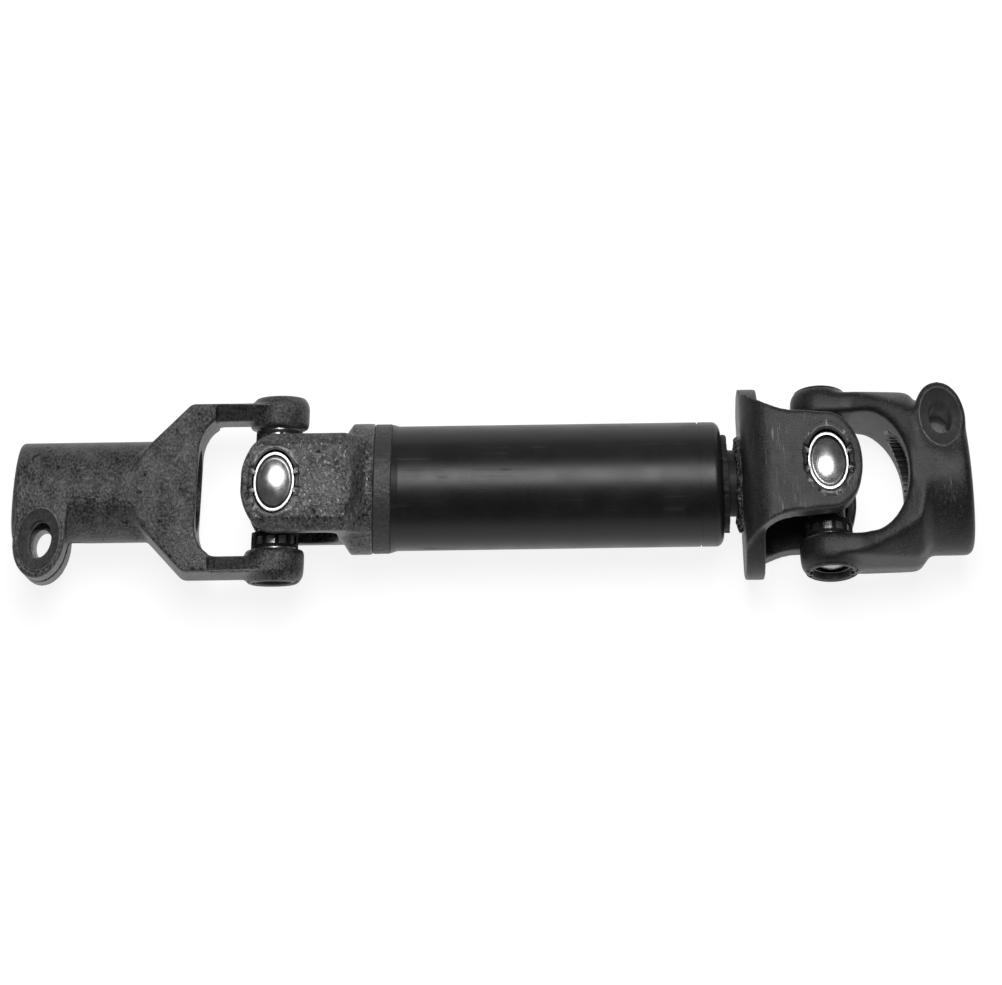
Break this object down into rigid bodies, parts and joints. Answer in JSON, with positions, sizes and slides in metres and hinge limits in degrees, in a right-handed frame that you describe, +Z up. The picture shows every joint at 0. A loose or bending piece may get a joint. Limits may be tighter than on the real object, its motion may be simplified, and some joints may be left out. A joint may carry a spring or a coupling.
{
  "type": "telescoping steering shaft",
  "caption": "Telescoping intermediate steering shaft: a universal joint at each end, clamp hubs with splined bores, and a black tube that a splined shaft slides in",
  "frame": {"origin": "On the shaft's axis, in the middle of the left splined bore", "axes": "+X runs along the shaft to the right joint, -X leaves the left bore, +Y points to the back as it lies (up in the picture) and +Z points up from what it lies on"},
  "size_m": [0.353, 0.048, 0.049],
  "materials": {
    "cast_skin": "grainy dark grey forging skin, shot blasted",
    "pad_steel": "light grey, coarse sparkling pads, smoother base",
    "satin_steel": "smooth satin grey with lighter worn edges",
    "collar_steel": "fine grainy grey",
    "tube_black": "satin black paint",
    "sleeve_plastic": "plain moulded plastic",
    "seal_rubber": "matt black rubber",
    "shaft_steel": "ground steel with a greased film",
    "weld_bead": "rough dark weld",
    "cross_steel": "forged centre, ground trunnions",
    "cup_steel": "bright hardened steel with a polished dome",
    "needle_steel": "bright hardened steel"
  },
  "bodies": {
    "tube_assembly": {"left_inner_yoke": "pad_steel", "tube_collar": "collar_steel", "outer_tube": "tube_black", "tube_cap": "tube_black", "slide_sleeve": "sleeve_plastic", "wiper_seal": "seal_rubber", "left_upper_cup": "cup_steel", "left_upper_needles": "needle_steel", "left_upper_seal": "seal_rubber", "left_lower_cup": "cup_steel", "left_lower_needles": "needle_steel", "left_lower_seal": "seal_rubber"},
    "left_cross": {"left_cross": "cross_steel"},
    "left_yoke": {"left_outer_yoke": "cast_skin", "left_back_cup": "cup_steel", "left_back_needles": "needle_steel", "left_back_seal": "seal_rubber", "left_front_cup": "cup_steel", "left_front_needles": "needle_steel", "left_front_seal": "seal_rubber"},
    "shaft_assembly": {"sliding_shaft": "shaft_steel", "flange_weld": "weld_bead", "flange_yoke": "satin_steel", "right_upper_cup": "cup_steel", "right_upper_needles": "needle_steel", "right_upper_seal": "seal_rubber", "right_lower_cup": "cup_steel", "right_lower_needles": "needle_steel", "right_lower_seal": "seal_rubber"},
    "right_cross": {"right_cross": "cross_steel"},
    "right_yoke": {"right_outer_yoke": "satin_steel", "right_back_cup": "cup_steel", "right_back_needles": "needle_steel", "right_back_seal": "seal_rubber", "right_front_cup": "cup_steel", "right_front_needles": "needle_steel", "right_front_seal": "seal_rubber"}
  },
  "joints": [
    {"name": "left_cross_turn", "type": "hinge", "parent": "tube_assembly", "child": "left_cross", "pos_m": [0.0745, 0, 0], "axis": [0, -0.0785, 0.9969], "range_deg": [-30, 30]},
    {"name": "left_yoke_turn", "type": "hinge", "parent": "left_cross", "child": "left_yoke", "pos_m": [0.0745, 0, 0], "axis": [0, 0.9969, 0.0785], "range_deg": [-30, 30]},
    {"name": "shaft_slide", "type": "slide", "parent": "tube_assembly", "child": "shaft_assembly", "axis": [1, 0, 0], "range_m": [-0.001, 0.04]},
    {"name": "right_cross_turn", "type": "hinge", "parent": "shaft_assembly", "child": "right_cross", "pos_m": [0.278, 0, 0], "axis": [0, 0.0785, 0.9969], "range_deg": [-30, 30]},
    {"name": "right_yoke_turn", "type": "hinge", "parent": "right_cross", "child": "right_yoke", "pos_m": [0.278, 0, 0], "axis": [0, 0.9969, -0.0785], "range_deg": [-30, 30]}
  ]
}
